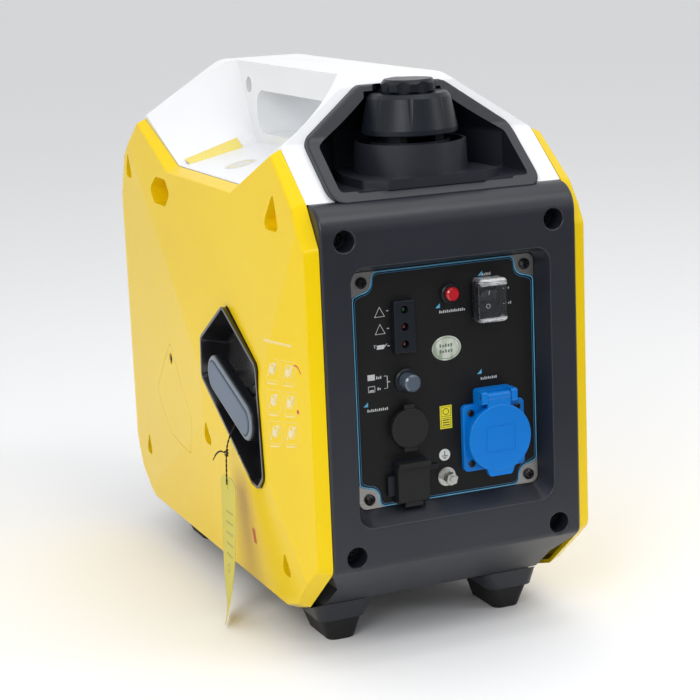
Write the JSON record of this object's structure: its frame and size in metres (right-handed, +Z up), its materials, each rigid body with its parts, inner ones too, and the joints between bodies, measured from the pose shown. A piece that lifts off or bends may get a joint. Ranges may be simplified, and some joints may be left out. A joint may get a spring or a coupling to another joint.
{
  "type": "portable generator",
  "caption": "Portable inverter generator with moulded side covers, a top carrying handle, a screw fuel cap, a recoil starter grip and a recessed socket panel.",
  "frame": {"origin": "on the floor under the middle of the machine", "axes": "+Z up, -Y towards the user who faces the control panel, +X to that user's right"},
  "size_m": [0.2663, 0.45, 0.417],
  "materials": {
    "yellow_cover": "glossy moulded",
    "white_cover": "glossy moulded",
    "black_moulding": "fine satin grain",
    "panel_black": "matte printed",
    "black_trim": "satin",
    "blue_socket": "satin",
    "red_button": "glossy",
    "grey_button": "glossy",
    "clear_plastic": "clear soft",
    "grip_pad": "soft touch",
    "rubber": "matte",
    "zinc_steel": "zinc plated",
    "dark_screw": "black oxide",
    "cast_aluminium": "as cast",
    "steel": "machined",
    "winding": "varnished copper",
    "tank_plastic": "moulded",
    "paper": "matt paper",
    "cord_black": "twisted"
  },
  "bodies": {
    "housing": {"front_bezel": "black_moulding", "rear_bezel": "black_moulding", "left_side_cover": "yellow_cover", "right_side_cover": "yellow_cover", "top_cover": "white_cover", "filler_surround": "black_moulding", "base_tray": "black_moulding", "rubber_feet": "rubber", "front_bezel_screws": "dark_screw", "rear_screws": "dark_screw", "side_cover_screws": "dark_screw", "handle_bolts": "zinc_steel", "maintenance_cover": "yellow_cover", "maintenance_screw": "dark_screw", "starter_recess": "black_trim", "rope_guide": "black_trim", "control_panel": "panel_black", "panel_screws": "dark_screw", "led_block": "black_trim", "pilot_lights": "red_button", "button_collars": "black_trim", "eco_switch_frame": "black_trim", "eco_clear_cover": "clear_plastic", "dc_socket": "black_trim", "port_housing": "black_trim", "ac_socket_base": "blue_socket", "ac_lid_pin": "steel", "ground_stud": "zinc_steel", "ground_nuts": "zinc_steel", "exhaust_grille": "black_moulding", "tailpipe": "steel", "muffler": "steel", "crankcase": "cast_aluminium", "cylinder": "cast_aluminium", "spark_plug": "rubber", "stator": "winding", "recoil_housing": "steel", "engine_mounts": "rubber", "carburettor": "cast_aluminium", "air_filter_box": "black_trim", "fuel_tank": "tank_plastic", "inverter_module": "cast_aluminium"},
    "crank_train": {"crankshaft": "steel", "flywheel_rotor": "steel", "cooling_fan": "black_trim"},
    "recoil_drum": {"recoil_pulley": "black_trim"},
    "starter_handle": {"starter_grip": "black_trim", "grip_insert": "grip_pad", "hang_tag": "paper", "tag_string": "cord_black", "starter_rope": "cord_black"},
    "filler_cap": {"fuel_cap": "black_trim"},
    "vent_knob": {"cap_vent_knob": "black_trim"},
    "socket_lid": {"ac_socket_lid": "blue_socket"},
    "dc_cap": {"dc_socket_cap": "rubber"},
    "port_flap": {"port_cover": "rubber"},
    "eco_switch": {"eco_rocker": "black_trim"},
    "breaker": {"breaker_button": "grey_button"},
    "reset": {"reset_button": "red_button"},
    "run_dial": {"fuel_dial": "black_trim"}
  },
  "joints": [
    {"name": "starter_pull", "type": "slide", "parent": "housing", "child": "starter_handle", "axis": [-1, 0, 0], "range_m": [0, 0.5], "stiffness_N_per_m": 14, "springref_m": -0.25, "deforming": ["starter_rope"]},
    {"name": "recoil_turn", "type": "hinge", "parent": "housing", "child": "recoil_drum", "pos_m": [-0.09, 0.007, 0.15], "axis": [1, 0, 0], "range_deg": [0, 960]},
    {"name": "crank_turn", "type": "hinge", "parent": "housing", "child": "crank_train", "pos_m": [-0.06, 0.007, 0.15], "axis": [1, 0, 0], "continuous": true},
    {"name": "fuel_cap_turn", "type": "hinge", "parent": "housing", "child": "filler_cap", "pos_m": [0, -0.161, 0.376], "axis": [0, 0, 1], "range_deg": [0, 90]},
    {"name": "vent_turn", "type": "hinge", "parent": "filler_cap", "child": "vent_knob", "pos_m": [0, -0.161, 0.405], "axis": [0, 0, 1], "range_deg": [0, 90]},
    {"name": "socket_lid_hinge", "type": "hinge", "parent": "housing", "child": "socket_lid", "pos_m": [0.035, -0.2212, 0.187], "axis": [-1, 0, 0], "range_deg": [0, 110], "stiffness_Nm_per_rad": 0.02, "springref_deg": -34.38},
    {"name": "dc_cap_flip", "type": "hinge", "parent": "housing", "child": "dc_cap", "pos_m": [-0.033, -0.2144, 0.1544], "axis": [1, 0, 0], "range_deg": [0, 90]},
    {"name": "port_flap_hinge", "type": "hinge", "parent": "housing", "child": "port_flap", "pos_m": [-0.0325, -0.2166, 0.1141], "axis": [1, 0, 0], "range_deg": [0, 90]},
    {"name": "eco_rock", "type": "hinge", "parent": "housing", "child": "eco_switch", "pos_m": [0.033, -0.2053, 0.2575], "axis": [-1, 0, 0], "range_deg": [0, 14]},
    {"name": "breaker_press", "type": "slide", "parent": "housing", "child": "breaker", "axis": [0, 1, 0], "range_m": [0, 0.005], "stiffness_N_per_m": 400, "springref_m": -0.003},
    {"name": "reset_press", "type": "slide", "parent": "housing", "child": "reset", "axis": [0, 1, 0], "range_m": [0, 0.003], "stiffness_N_per_m": 400, "springref_m": -0.003},
    {"name": "run_dial_turn", "type": "hinge", "parent": "housing", "child": "run_dial", "pos_m": [0.104, -0.065, 0.175], "axis": [1, 0, 0], "range_deg": [0, 120]}
  ],
  "couplings": [
    {"joint": "recoil_turn", "follows": "starter_pull", "rad_per_m": 31.25}
  ]
}
